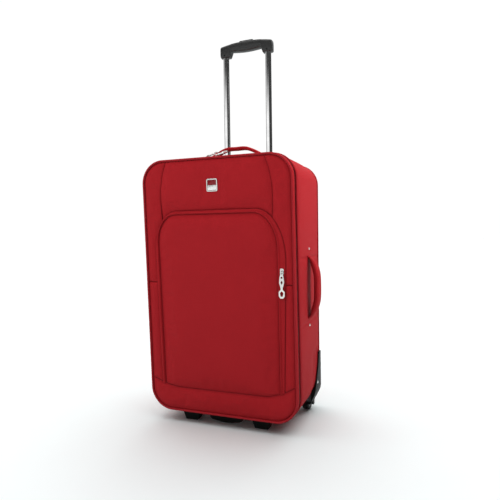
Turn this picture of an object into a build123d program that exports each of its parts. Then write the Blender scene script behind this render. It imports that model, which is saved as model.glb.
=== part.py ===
"""Soft-sided upright suitcase on two wheels, with its telescopic handle drawn out.

Working frame: X across (right is +X), Y front to back (the front faces -Y), Z up from the floor.
X = 0 is the middle of the case, and Y = 0 is the front face where it meets the case bottom.
The front leans forward towards the top. Everything on it is drawn upright and then leaned.
On export all parts shift by one offset, so that the origin is the bottom centre of the whole box.
"""
from build123d import *
from math import atan, cos, degrees, radians, sin
import os

# ---- case ----------------------------------------------------------------------------------------
HALF_W = 210.0            # outside of the piping
Z_BOTTOM, Z_TOP = 30.0, 710.0
DEPTH = 241.0             # front to back at the bottom
LEAN_OUT = 31.0           # how much further forward the front is at the top
CORNER_R = 62.0
PIPING = 1.5              # how far the piping stands out from the fabric walls
WALL = 3.0
SKIN = 4.0                # padded front panels

# ---- depth stations behind the front face --------------------------------------------------------
S_LID_GUSSET = 17.0       # the lid's gusset ends and its zip tape starts
S_PART = 22.0             # the main zip, where lid and case part
S_CASE_TAPE = 27.0
S_CASE_PIPING = 31.0      # behind the raised piping the case gusset starts
PART_GAP = 0.15           # half the gap between the two zip tapes
Y_BACK_PIPING = 236.0

# ---- front pocket --------------------------------------------------------------------------------
POCKET_TOP, POCKET_BOTTOM = 541.0, 66.0        # heights above the case bottom
POCKET_SIDE, POCKET_FOOT = 185.0, 178.0        # half widths, at the corners and at the bottom
POCKET_CORNER = (70.0, 100.0)                  # across and down
ZIP_BAND = 15.0           # zip tape round the pocket panel
POCKET_BACK = 15.0        # depth of the backing panel
POCKET_PROUD = 4.0
SEAM_ACROSS = 354.0       # seam across the side strips

# ---- telescopic handle ---------------------------------------------------------------------------
TUBE_X, TUBE_Y = 67.5, 223.0
TUBE_R, TUBE_BORE = 9.4, 8.2
OUTER_R, OUTER_BORE = 11.0, 9.8
TUBE_END = 650.0
GRIP_LOW, GRIP_TOP = 1045.0, 1088.0
GRIP_HALF, GRIP_DEPTH, CAP_W = 82.0, 28.0, 28.0
TRAVEL = 320.0
BUTTON = (44.0, 15.0)

# ---- wheels, guards and feet ---------------------------------------------------------------------
WHEEL_R, WHEEL_W, WHEEL_X, WHEEL_Y = 27.0, 20.0, 180.0, 205.0
AXLE_R = 3.0
GUARD_X = 212.0
GUARD_BACK = 246.0
GUARD_TOP = 165.0
FOOT_X, FOOT_Y = 102.0, 37.0

# ---- carry handles -------------------------------------------------------------------------------
SIDE_Z, SIDE_SPAN, SIDE_REACH, SIDE_Y = 366.0, 158.0, 33.0, 118.0
TOP_SPAN, TOP_RISE, TOP_Y = 176.0, 49.0, 135.0

LEAN = degrees(atan(LEAN_OUT / (Z_TOP - Z_BOTTOM)))
FRONT_H = (Z_TOP - Z_BOTTOM - S_PART * sin(radians(LEAN))) / cos(radians(LEAN))
lean = Pos(0, 0, Z_BOTTOM) * Rot(X=LEAN)

nodes = {}


# ---- drawing helpers -----------------------------------------------------------------------------
def block(x0, x1, y0, y1, z0, z1):
    return Pos((x0 + x1) / 2, (y0 + y1) / 2, (z0 + z1) / 2) * Box(x1 - x0, y1 - y0, z1 - z0)


def deep(face, y0, y1):
    """A shape drawn across and up (X, Z), made solid from y0 back to y1."""
    return Rot(X=90) * (Pos(0, 0, -y1) * extrude(face, y1 - y0))


def wide(face, x0, x1):
    """A shape drawn back and up (Y, Z), made solid from x0 to x1."""
    return Plane.YZ * (Pos(0, 0, x0) * extrude(face, x1 - x0))


def polygon(*points):
    return make_face(Polyline(*points, close=True))


def both(shape):
    """A shape and its mirror image on the other side of the case."""
    return [shape, mirror(shape, about=Plane.YZ)]


def group(*shapes):
    """Separate solids kept together in one node."""
    return Compound([solid for shape in shapes for solid in shape.solids()])


def outline(inset, height=Z_TOP - Z_BOTTOM):
    """The rounded front view of the case, drawn in by an inset."""
    box = RectangleRounded(2 * (HALF_W - inset), height - 2 * inset, CORNER_R - inset)
    return Pos(0, height / 2) * box


def ring(inset0, inset1, height=Z_TOP - Z_BOTTOM):
    return outline(inset0, height) - outline(inset1, height)


def front_ring(inset0, inset1, s0, s1):
    """A ring that follows the leaning front, between two depths."""
    return lean * deep(ring(inset0, inset1, FRONT_H), s0, s1)


def behind_plane(s):
    """Everything in front of the leaning plane at depth s, to be cut away."""
    return lean * block(-400, 400, -300, s, -200, 1000)


# ---- front outlines, drawn upright (across, height above the case bottom) ------------------------
def pocket_face(shrink=0.0):
    side, foot = POCKET_SIDE - shrink, POCKET_FOOT - shrink
    top, low = POCKET_TOP - shrink * 0.55, POCKET_BOTTOM
    cx, cy = POCKET_CORNER
    bend = 0.7071
    mid = (side - cx + cx * bend, top - cy + cy * bend)
    right = [Line((foot, low), (side, top - cy)),
             ThreePointArc((side, top - cy), mid, (side - cx, top))]
    left = [Line((-foot, low), (-side, top - cy)),
            ThreePointArc((-side, top - cy), (-mid[0], mid[1]), (cx - side, top))]
    ends = [Line((side - cx, top), (cx - side, top)), Line((-foot, low), (foot, low))]
    return make_face(right + left + ends)


def centre_face():
    """Between the two curved vertical seams."""
    seam = [(139, FRONT_H + 20), (140, 667), (155.5, 603), (156, 537)]
    right = [Spline(*seam), Line((156, 537), (156, POCKET_BOTTOM))]
    left = [Spline(*[(-x, z) for x, z in seam]), Line((-156, 537), (-156, POCKET_BOTTOM))]
    ends = [Line((-139, FRONT_H + 20), (139, FRONT_H + 20)),
            Line((-156, POCKET_BOTTOM), (156, POCKET_BOTTOM))]
    return make_face(right + left + ends)


def base_face():
    """The bottom panel, whose upper edge turns up at both ends."""
    edge = Spline((-220, 99), (-176, 76), (-138, 69), (0, 67), (138, 69), (176, 76), (220, 99))
    rest = Polyline((220, 99), (220, -20), (-220, -20), (-220, 99))
    return make_face([edge, rest])


# ---- lid -----------------------------------------------------------------------------------------
def lid_panels():
    """Flat padded panels of the front, sewn edge to edge round the pocket."""
    plate = outline(PIPING, FRONT_H) - pocket_face()
    base = plate & base_face()
    field = plate - base_face()
    centre = field & centre_face()
    strips = field - centre_face()
    upper = strips & Pos(0, SEAM_ACROSS + 500) * Rectangle(900, 1000)
    lower = strips & Pos(0, SEAM_ACROSS - 500) * Rectangle(900, 1000)
    right_half = Pos(250, 300) * Rectangle(500, 1500)
    nodes["front_top_panel"] = lean * deep(centre, 0, SKIN)
    nodes["front_bottom_panel"] = lean * deep(base, 0, SKIN)
    for name, face in (("upper", upper), ("lower", lower)):
        nodes[f"front_strip_{name}_right"] = lean * deep(face & right_half, 0, SKIN)
        nodes[f"front_strip_{name}_left"] = lean * deep(face - right_half, 0, SKIN)


def lid_frame():
    nodes["lid_piping"] = front_ring(0, 6, -3, 0)
    nodes["lid_gusset"] = front_ring(PIPING, PIPING + WALL, SKIN, S_LID_GUSSET)
    nodes["lid_zip_tape"] = front_ring(PIPING, PIPING + WALL, S_LID_GUSSET, S_PART - PART_GAP)
    nodes["lid_lining"] = lean * deep(outline(PIPING + WALL + 0.5, FRONT_H), POCKET_BACK + 2, POCKET_BACK + 3)


def pocket():
    """A tray let into the lid, closed by a padded panel with a zip round it."""
    band = pocket_face() - pocket_face(ZIP_BAND)
    nodes["pocket_zip_tape"] = lean * deep(band, 0, WALL)
    rim = pocket_face(ZIP_BAND - 4) - pocket_face(ZIP_BAND)
    floor_strip = Pos(0, POCKET_BOTTOM + 2) * Rectangle(2 * (POCKET_FOOT - ZIP_BAND + 3), 4)
    nodes["pocket_rim"] = lean * deep(rim + floor_strip, WALL, POCKET_BACK)
    nodes["pocket_backing"] = lean * deep(pocket_face(ZIP_BAND - 6), POCKET_BACK, POCKET_BACK + 2)
    panel = pocket_face(ZIP_BAND + 0.5) & Pos(0, POCKET_BOTTOM + 500.5) * Rectangle(900, 1000)
    nodes["pocket_panel"] = lean * deep(panel, -POCKET_PROUD, 1)


def badge():
    """A plain frame with a window above a blank plate."""
    frame = Pos(-3, 607) * RectangleRounded(31, 33, 5)
    window = Pos(-3, 612.5) * RectangleRounded(23, 12, 1.5)
    plate = Pos(-3, 599.5) * RectangleRounded(23, 10, 1.5)
    nodes["badge_frame"] = lean * deep(frame - window - plate, -3, 0)
    nodes["badge_plate"] = lean * deep(plate, -2.6, 0)


# ---- case walls ----------------------------------------------------------------------------------
def guard_envelope():
    """Outer shape of the right wheel guard."""
    across = polygon((157, GUARD_TOP), (GUARD_X, GUARD_TOP), (GUARD_X, 62), (210, 52), (200, Z_BOTTOM),
                     (157, Z_BOTTOM))
    back = GUARD_BACK
    sweep = Spline((222, GUARD_TOP), (210, 120), (183, 76), (160, Z_BOTTOM))
    rest = Polyline((160, Z_BOTTOM), (back - 14, Z_BOTTOM), (back - 8, 33), (back, 50), (back, GUARD_TOP - 3),
                    (back - 3, GUARD_TOP), (222, GUARD_TOP))
    return deep(across, 150, back + 1) & wide(make_face([sweep, rest]), 157, GUARD_X)


def wheel_box():
    return block(157, 200, 166, 241, Z_BOTTOM, 66)


def axle_at(r, x0, x1):
    return Pos((x0 + x1) / 2, WHEEL_Y, WHEEL_R) * Rot(Y=90) * Cylinder(r, x1 - x0)


def wheel_guards():
    """Corner guard and wheel housing in one moulding, with two cheeks that carry the axle."""
    shell = guard_envelope() - block(150, 209, 150, 241.5, 66, 200)
    lug = polygon((186, 36), (224, 36), (218, 27), (213, 17.5), (205, 14), (197, 17.5), (192, 27))
    cheeks = wide(lug, 160, 164) + wide(lug, 196, 200)
    well = block(164, 196, 174, 238, 0, 61)
    guard = shell + wheel_box() + cheeks - well - axle_at(AXLE_R, 150, 205) - axle_at(5, 200, 215)
    for name, shape in zip(("right", "left"), both(guard)):
        nodes[f"wheel_guard_{name}"] = shape
    nodes["axles"] = group(*both(axle_at(AXLE_R, 158.5, 200) + axle_at(4.6, 200, 202)))
    spacer = axle_at(5.5, 164, 169.6) - axle_at(AXLE_R, 160, 175)
    spacer_out = axle_at(5.5, 190.4, 196) - axle_at(AXLE_R, 185, 200)
    nodes["axle_spacers"] = group(*both(spacer), *both(spacer_out))
    dome = Cylinder(4, 2, align=(Align.CENTER, Align.CENTER, Align.MIN))
    dome = fillet(dome.edges().group_by(Axis.Z)[-1], 1.5)
    spots = [Pos(GUARD_X, 200, 83) * Rot(Y=90), Pos(185, GUARD_BACK, 140) * Rot(X=-90), Pos(185, GUARD_BACK, 80) * Rot(X=-90)]
    nodes["guard_rivets"] = group(*[s for spot in spots for s in both(spot * dome)])


def case_walls():
    depth_ring = Pos(0, Z_BOTTOM) * ring(PIPING, PIPING + WALL)
    wall = deep(depth_ring, -80, Y_BACK_PIPING) - behind_plane(S_CASE_PIPING)
    guards = both(guard_envelope() + wheel_box())
    low = block(-400, 400, -400, 400, -100, 66.3)
    for guard in guards:
        wall = wall - (guard & low)
    seam_high, seam_low = 445.0, 272.0
    slot = block(-92, 92, 208, Y_BACK_PIPING - 0.5, 690, 720)
    screws = [hole for x in (-FOOT_X, FOOT_X) for hole in screw_shanks(x)] + screw_shanks(0, 30)
    bottom = wall & block(-400, 400, -400, 400, 0, seam_low)
    for hole in screws:
        bottom = bottom - hole
    nodes["gusset_top"] = (wall & block(-400, 400, -400, 400, seam_high, 900)) - slot
    nodes["gusset_bottom"] = bottom
    middle = wall & block(-400, 400, -400, 400, seam_low, seam_high)
    nodes["gusset_middle_right"] = middle & block(0, 400, -400, 400, 0, 900)
    nodes["gusset_middle_left"] = middle & block(-400, 0, -400, 400, 0, 900)

    nodes["case_zip_tape"] = front_ring(PIPING, PIPING + WALL, S_PART + PART_GAP, S_CASE_TAPE)
    nodes["case_piping"] = front_ring(0, PIPING + WALL, S_CASE_TAPE, S_CASE_PIPING)
    edge = deep(Pos(0, Z_BOTTOM) * ring(0, PIPING + WALL), Y_BACK_PIPING, DEPTH)
    back = deep(Pos(0, Z_BOTTOM) * outline(PIPING + WALL), DEPTH - SKIN, DEPTH)
    for guard in guards:
        edge = edge - guard
        back = back - (guard & low)
    nodes["back_piping"] = edge
    nodes["back_panel"] = back


def case_inside():
    """Stiffener board, frame hoop, lining and the packing straps."""
    board = Pos(0, 375) * RectangleRounded(290, 620, 20)
    nodes["back_board"] = deep(board, 235, DEPTH - SKIN)
    nodes["frame_hoop"] = front_ring(PIPING + WALL + 1.5, PIPING + WALL + 5.5, 36, 40)
    lining = deep(Pos(0, Z_BOTTOM) * outline(PIPING + WALL + 1), 206, 207.5)
    for side in both(block(156, 215, 160, 250, 0, 67)):
        lining = lining - side
    nodes["back_lining"] = lining
    arms = []
    for x, z in ((150, 640), (-150, 640), (-150, 130), (150, 130)):
        start = Vector(x, z)
        reach = (Vector(0, 385) - start)
        arm = Pos(start.X, start.Y) * Rot(Z=degrees_of(reach)) * Pos((reach.length - 34) / 2, 0)
        arms.append(deep(arm * Rectangle(reach.length - 34, 25), 204.4, 206))
    nodes["packing_straps"] = group(*arms)
    buckle = Pos(0, 385) * (RectangleRounded(70, 60, 8) - RectangleRounded(30, 20, 4))
    nodes["strap_buckle"] = deep(buckle, 202, 204.3)


def degrees_of(v):
    return Vector(1, 0).get_signed_angle(v, Vector(0, 0, 1))


# ---- telescopic handle ---------------------------------------------------------------------------
def tube(r, bore, z0, z1, x=TUBE_X):
    return Pos(x, TUBE_Y, (z0 + z1) / 2) * (Cylinder(r, z1 - z0) - Cylinder(bore, z1 - z0))


def rod(r, z0, z1, x=TUBE_X, y=TUBE_Y):
    return Pos(x, y, (z0 + z1) / 2) * Cylinder(r, z1 - z0)


def handle_fixed():
    nodes["outer_tubes"] = group(*both(tube(OUTER_R, OUTER_BORE, 50, 700)))
    bar = block(-85, 85, 208.5, 234.9, 42, 64)
    bar = fillet(bar.edges().filter_by(Axis.Y), 6)
    for shape in both(rod(OUTER_R, 50, 80)):
        bar = bar - shape
    nodes["tube_bracket"] = bar
    plate = Pos(0, 221) * RectangleRounded(196, 29.4, 12)
    bezel = Pos(0, 0, Z_TOP - PIPING) * extrude(plate, 3.5)
    bezel = fillet(bezel.edges().group_by(Axis.Z)[-1], 2)
    plug = block(-91.6, 91.6, 208.4, Y_BACK_PIPING - 0.9, 700.3, Z_TOP - PIPING)
    bezel = bezel + plug - (Pos(0, TUBE_Y, Z_TOP + 2) * Box(100, 14, 6))
    for x in (-TUBE_X, TUBE_X):
        collar = rod(12.5, Z_TOP, Z_TOP + 5, x)
        bezel = bezel + fillet(collar.edges().group_by(Axis.Z)[-1], 2)
    for x in (-TUBE_X, TUBE_X):
        bezel = bezel - rod(OUTER_BORE, 690, 730, x)
    nodes["handle_bezel"] = bezel


def grip_face():
    """Front view of the grip: a bowed bar between two end caps that hang a little lower."""
    half, cap, low = GRIP_HALF, GRIP_HALF - CAP_W, GRIP_LOW
    points = [(-half, low + 34), (-half, low), (-cap, low), (-cap + 7, low + 15), (0, low + 12),
              (cap - 7, low + 15), (cap, low), (half, low), (half, low + 34), (half - 9, low + 39),
              (45, GRIP_TOP - 1), (0, GRIP_TOP + 0.4), (-45, GRIP_TOP - 1), (-half + 9, low + 39)]
    shape = polygon(*points)
    return fillet(shape.vertices(), 4)


def handle_moving():
    nodes["inner_tubes"] = group(*both(tube(TUBE_R, TUBE_BORE, TUBE_END, 1062)))
    guide = rod(OUTER_BORE - 0.06, TUBE_END - 30, TUBE_END) + rod(TUBE_BORE - 0.1, TUBE_END, TUBE_END + 15)
    nodes["tube_guides"] = group(*both(guide))
    nodes["release_rods"] = group(*both(rod(2.5, TUBE_END + 15, 1062)))

    y0, y1 = TUBE_Y - GRIP_DEPTH / 2, TUBE_Y + GRIP_DEPTH / 2
    edges = deep(grip_face(), y0, y1)
    core = wide(Pos(TUBE_Y, (GRIP_LOW + GRIP_TOP) / 2) * RectangleRounded(GRIP_DEPTH, 60, 9), -100, 100)
    grip = edges & core
    bw, bd = BUTTON
    pocket_hole = Pos(0, TUBE_Y, GRIP_TOP - 4) * Box(bw + 0.8, bd + 0.8, 20)
    grip = grip - pocket_hole
    for x in (-TUBE_X, TUBE_X):
        grip = grip - rod(TUBE_R, GRIP_LOW - 5, 1062, x)
    pins = both(Pos(TUBE_X, TUBE_Y, 1052) * Rot(X=90) * (Cylinder(2, GRIP_DEPTH - 0.4) -
                                                         Cylinder(3, 2 * TUBE_R)))
    for pin in pins:
        grip = grip - pin
    nodes["grip"] = grip
    nodes["grip_pins"] = group(*pins)
    button = Pos(0, 0, -6) * extrude(RectangleRounded(bw, bd, 4), 12)
    button = fillet(button.edges().group_by(Axis.Z)[-1], 2)
    button = button - Pos(0, 0, -2) * Box(bw - 5, bd - 5, 9)
    nodes["release_button"] = Pos(0, TUBE_Y, GRIP_TOP - 3.4) * button


# ---- wheels and feet -----------------------------------------------------------------------------
def wheels():
    tyre = Cylinder(WHEEL_R, WHEEL_W) - Cylinder(19, WHEEL_W)
    tyre = fillet(tyre.edges().filter_by(GeomType.CIRCLE).group_by(SortBy.RADIUS)[-1], 4)
    hub = Cylinder(19, 18.4) - Cylinder(AXLE_R + 0.05, 20)
    dish = Pos(0, 0, 7.2) * (Cylinder(15.5, 4) - Cylinder(6.5, 4))
    hub = hub - dish - Pos(0, 0, -14.4) * dish
    for turn in range(5):
        hub = hub - Rot(Z=72 * turn) * Pos(11, 0, 0) * Cylinder(2.6, 20)
    for name, side in (("right", 1), ("left", -1)):
        seat = Pos(side * WHEEL_X, WHEEL_Y, WHEEL_R) * Rot(Y=90)
        nodes[f"tyre_{name}"] = seat * tyre
        nodes[f"hub_{name}"] = seat * hub


def screw_shanks(x, spread=12, r=2.0):
    return [rod(r, 20, 36.5, x + side * spread, FOOT_Y) for side in (-1, 1)]


def feet():
    """Two front feet and the rocking skid between them, each held by two screws."""
    foot = polygon((-29, Z_BOTTOM + PIPING), (29, Z_BOTTOM + PIPING), (27, 24), (18, 0), (-18, 0), (-27, 24))
    foot = deep(foot, FOOT_Y - 12, FOOT_Y + 12)
    foot = fillet(foot.edges().filter_by(Axis.Y).group_by(Axis.Z)[0], 2)
    skid = make_face([Line((-53, Z_BOTTOM + PIPING), (53, Z_BOTTOM + PIPING)),
                      Line((53, Z_BOTTOM + PIPING), (49, 20)), Line((-53, Z_BOTTOM + PIPING), (-49, 20)),
                      ThreePointArc((49, 20), (45, 11), (36, 7)), ThreePointArc((-49, 20), (-45, 11), (-36, 7)),
                      ThreePointArc((-36, 7), (0, 3), (36, 7))])
    skid = deep(skid, FOOT_Y - 9, FOOT_Y + 13)
    under_edge = block(-400, 400, 0, 31.9, 29.5, 40)      # clears the piping and the zip
    heads, shapes = [], []
    for x in (-FOOT_X, FOOT_X):
        shapes.append((Pos(x, 0, 0) * foot, x, 12))
    shapes.append((skid, 0, 30))
    made = []
    for shape, x, spread in shapes:
        for side in (-1, 1):
            head = rod(3.6, 17, 20, x + side * spread, FOOT_Y)
            shape = shape - rod(4.2, -5, 20, x + side * spread, FOOT_Y) - rod(2, 20, 36.5, x + side * spread, FOOT_Y)
            heads.append(head + rod(2, 20, 36.5, x + side * spread, FOOT_Y))
        made.append(shape - under_edge)
    nodes["front_feet"] = group(*made[:2])
    nodes["centre_skid"] = made[2]
    nodes["foot_screws"] = group(*heads)


# ---- carry handles -------------------------------------------------------------------------------
def strap_arch(span, rise, thick, root=10.0):
    """Side view of a padded carry handle: a low arch standing on a flat wall, drawn across and out."""
    half = span / 2
    outer = Spline((-half - root, 0), (-half + 8, rise * 0.62), (-half * 0.45, rise), (half * 0.45, rise),
                   (half - 8, rise * 0.62), (half + root, 0))
    inner = Spline((half - root - 2, 0), (half - 18, (rise - thick) * 0.6), (half * 0.42, rise - thick),
                   (-half * 0.42, rise - thick), (-half + 18, (rise - thick) * 0.6), (-half + root + 2, 0))
    ends = [Line((half + root, 0), (half - root - 2, 0)), Line((-half - root, 0), (-half + root + 2, 0))]
    return make_face([outer, inner] + ends)


def carry_handles():
    wall_x, wall_z = HALF_W - PIPING, Z_TOP - PIPING
    arch = deep(strap_arch(TOP_SPAN, TOP_RISE, 8), -13, 13)
    nodes["top_handle"] = Pos(0, TOP_Y, wall_z) * arch
    side = deep(strap_arch(SIDE_SPAN, SIDE_REACH, 11), -14, 14)
    nodes["side_handle"] = Pos(wall_x, SIDE_Y, SIDE_Z) * Rot(Y=90) * side
    tab = Pos(0, 0, 0.75) * Box(26, 26, 1.5)
    tab = fillet(tab.edges().filter_by(Axis.Z), 6)
    dome = Cylinder(3.6, 2.6, align=(Align.CENTER, Align.CENTER, Align.MIN))
    dome = fillet(dome.edges().group_by(Axis.Z)[-1], 2.1)
    tabs, rivets = [], []
    for end in (-1, 1):
        top = Pos(end * (TOP_SPAN / 2 + 24), TOP_Y, wall_z)
        tall = Pos(wall_x, SIDE_Y, SIDE_Z + end * (SIDE_SPAN / 2 + 24)) * Rot(Y=90)
        for seat in (top, tall):
            tabs.append(seat * tab)
            rivets.append(seat * Pos(0, 0, 1.5) * dome)
    nodes["handle_tabs"] = group(*tabs)
    nodes["handle_rivets"] = group(*rivets)


# ---- zip sliders and pulls -----------------------------------------------------------------------
def slider(turn=0):
    """Slider body lying on a zip, its face up, with an arch in the YZ plane for the pull's crossbar."""
    body = Pos(0, 0, 1.6) * extrude_both(RectangleRounded(15, 9, 3), 1.6)
    arch = Pos(0, 0, 3.2) * Rot(Y=90) * (Cylinder(5.2, 2.6) - Cylinder(3.8, 2.6))
    return Rot(Z=turn) * body + (arch & Pos(0, 0, 13.1) * Box(20, 20, 20))


def extrude_both(face, half):
    return Pos(0, 0, -half) * extrude(face, 2 * half)


def pull():
    """Cast pull, drawn from its crossbar at the origin out along +Y."""
    half = [(3.4, -1.2), (3.4, 6), (5.2, 14), (6.5, 27), (2.6, 40), (2.6, 44), (7.5, 49), (7.5, 60), (3.5, 65.5)]
    body = polygon(*half, *[(-x, y) for x, y in reversed(half)])
    crossbar_hole = Pos(0, 3.6) * RectangleRounded(3.8, 4.8, 0.8)
    hole = Pos(0, 14.5) * Circle(2.6)
    rhomb = polygon((0, 21.5), (2.8, 26), (0, 31.5), (-2.8, 26))
    kite = polygon((0, 47.5), (4.6, 52), (2.6, 60.5), (-2.6, 60.5), (-4.6, 52))
    return extrude_both(body - crossbar_hole - hole - rhomb - kite, 1.2)


PULL_UP = 5.1             # crossbar height over the slider's underside
PULL_TILT = 18.0          # how far the main pulls stand up off the top, in degrees


def zip_seats():
    """Where the main sliders sit on the top, and the pocket slider on the front."""
    top = lean * Pos(0, S_PART, FRONT_H - PIPING + 0.45)
    main = [Pos(x, top.position.Y, top.position.Z) for x in (-24, 2)]
    front = lean * Pos(POCKET_SIDE - 8, 0, 388) * Rot(X=90) * Pos(0, 0, 0.5)
    return main, front


def zips():
    """Two sliders on top of the main zip, and one on the pocket zip with its pull hanging."""
    main, front = zip_seats()
    for name, seat in zip(("left", "right"), main):
        nodes[f"zip_slider_{name}"] = seat * slider()
        nodes[f"zip_pull_{name}"] = seat * Pos(0, 0, PULL_UP) * Rot(X=PULL_TILT) * pull()
    nodes["pocket_slider"] = front * slider(90)
    hook = (front * Pos(0, 0, PULL_UP)).position
    nodes["pocket_pull"] = Pos(hook) * Rot(X=90) * Rot(Z=180) * pull()


# ---- build and export ----------------------------------------------------------------------------
def build():
    lid_panels()
    lid_frame()
    pocket()
    badge()
    wheel_guards()
    case_walls()
    case_inside()
    handle_fixed()
    handle_moving()
    wheels()
    feet()
    carry_handles()
    zips()
    box = Compound([solid for shape in nodes.values() for solid in shape.solids()]).bounding_box()
    return Vector(-(box.min.X + box.max.X) / 2, -(box.min.Y + box.max.Y) / 2, -box.min.Z)


shift = build()
os.makedirs("parts", exist_ok=True)
for name, shape in nodes.items():
    export_step(Pos(shift) * group(shape), f"parts/{name}.step")
print("nodes", len(nodes), "shift", shift)
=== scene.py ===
"""Looks of a soft-sided upright suitcase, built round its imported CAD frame.

Shapes are drawn in millimetres in the case frame of the CAD: X across, Y front to back, Z up, with X = 0 in
the middle and Y = 0 at the foot of the front. The front leans forward, so what lies on it is drawn in
(x, s, t): across, depth behind the front face, and height along it. place() and front() turn both into
metres in the row frame.
"""
import math

import bpy
import bmesh
import numpy as np
from mathutils import Matrix, Vector
from mathutils.geometry import delaunay_2d_cdt


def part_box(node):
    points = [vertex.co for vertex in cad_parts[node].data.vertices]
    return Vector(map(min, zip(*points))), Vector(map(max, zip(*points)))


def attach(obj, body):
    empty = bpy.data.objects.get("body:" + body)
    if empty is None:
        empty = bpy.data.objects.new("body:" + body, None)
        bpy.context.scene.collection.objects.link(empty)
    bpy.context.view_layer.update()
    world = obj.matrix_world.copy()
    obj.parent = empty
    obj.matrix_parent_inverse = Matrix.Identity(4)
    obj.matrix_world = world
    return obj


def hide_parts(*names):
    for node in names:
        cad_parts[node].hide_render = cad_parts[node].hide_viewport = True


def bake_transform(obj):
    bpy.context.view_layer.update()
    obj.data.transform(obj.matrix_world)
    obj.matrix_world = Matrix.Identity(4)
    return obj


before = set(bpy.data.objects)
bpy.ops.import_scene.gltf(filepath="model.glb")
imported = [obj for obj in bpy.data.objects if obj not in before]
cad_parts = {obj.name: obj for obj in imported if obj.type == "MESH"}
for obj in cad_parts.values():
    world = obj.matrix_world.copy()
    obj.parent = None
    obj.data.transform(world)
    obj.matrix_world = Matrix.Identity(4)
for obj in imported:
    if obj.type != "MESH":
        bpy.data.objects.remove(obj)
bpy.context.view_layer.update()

# ---- driving dimensions, millimetres --------------------------------------------------------------
HALF_W, CORNER_R = 210.0, 62.0
Z_BOTTOM, Z_TOP, DEPTH, LEAN_OUT = 30.0, 710.0, 241.0, 31.0
BODY_H = Z_TOP - Z_BOTTOM
LEAN = math.atan(LEAN_OUT / BODY_H)
COS, SIN = math.cos(LEAN), math.sin(LEAN)
S_PART = 22.0                                   # depth at which the lid parts from the case
FRONT_H = (BODY_H - S_PART * SIN) / COS
S_CASE_PIPING, Y_BACK_PIPING = 31.0, 236.0
WALL_INSET, PANEL_INSET = 1.9, 6.7              # of the case wall, and of the front panels at the piping
SEAM_HIGH, SEAM_LOW = 445.0, 272.0              # seams of the wall above and below the side handle
SEAM_DIP, SEAM_SOFT, STITCH_GAP = 1.5, 3.2, 4.2
CROSS_T = 354.0                                 # seam across the strips beside the pocket
BADGE = np.array([-3.0, 607.0])
LINING_Y = 206.4                                # face of the back lining
HOUSING_X, HOUSING_Y, HOUSING_Z = 156.4, 165.4, 66.4     # inner corner of a wheel housing
TUBE_X, TUBE_Y = 67.5, 223.0
CHANNEL_HALF, KICK_Z = 24.0, 118.0              # seams on the back: beside each tube, and across
GRIP_LOW, GRIP_TOP, GRIP_HALF, GRIP_DEPTH = 1045.0, 1088.0, 82.0, 28.0
SIDE_Z, SIDE_SPAN, SIDE_REACH = 366.0, 158.0, 33.0
TOP_SPAN, TOP_RISE, TOP_Y = 176.0, 49.0, 135.0
SIDES = ((1, "right"), (-1, "left"))
CAMERA_AT, CAMERA_LENS = (519.3, -1133.3, 512.2), 34.315
CAMERA_YAW, CAMERA_PITCH, CAMERA_ROLL = (math.radians(a) for a in (20.9, -2.0, -0.8))

back_lo, back_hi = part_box("back_panel")
MID_X = (back_lo.x + back_hi.x) / 2
ZERO_Y = back_hi.y - DEPTH / 1000
side_lo, side_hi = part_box("side_handle")
SIDE_Y = ((side_lo.y + side_hi.y) / 2 - ZERO_Y) * 1000


def place(x, y, z):
    """Points of the case frame in metres in the row frame."""
    x, y, z = np.broadcast_arrays(*(np.asarray(a, float) for a in (x, y, z)))
    return np.stack([x / 1000 + MID_X, y / 1000 + ZERO_Y, z / 1000], -1)


def front(x, s, t):
    """Points drawn on the leaning front."""
    s, t = np.asarray(s, float), np.asarray(t, float)
    return place(x, s * COS - t * SIN, Z_BOTTOM + s * SIN + t * COS)


def front_y(z, s):
    """How far back the leaning plane at depth s lies at a height z."""
    return s / COS - (np.asarray(z, float) - Z_BOTTOM) * math.tan(LEAN)


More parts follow.
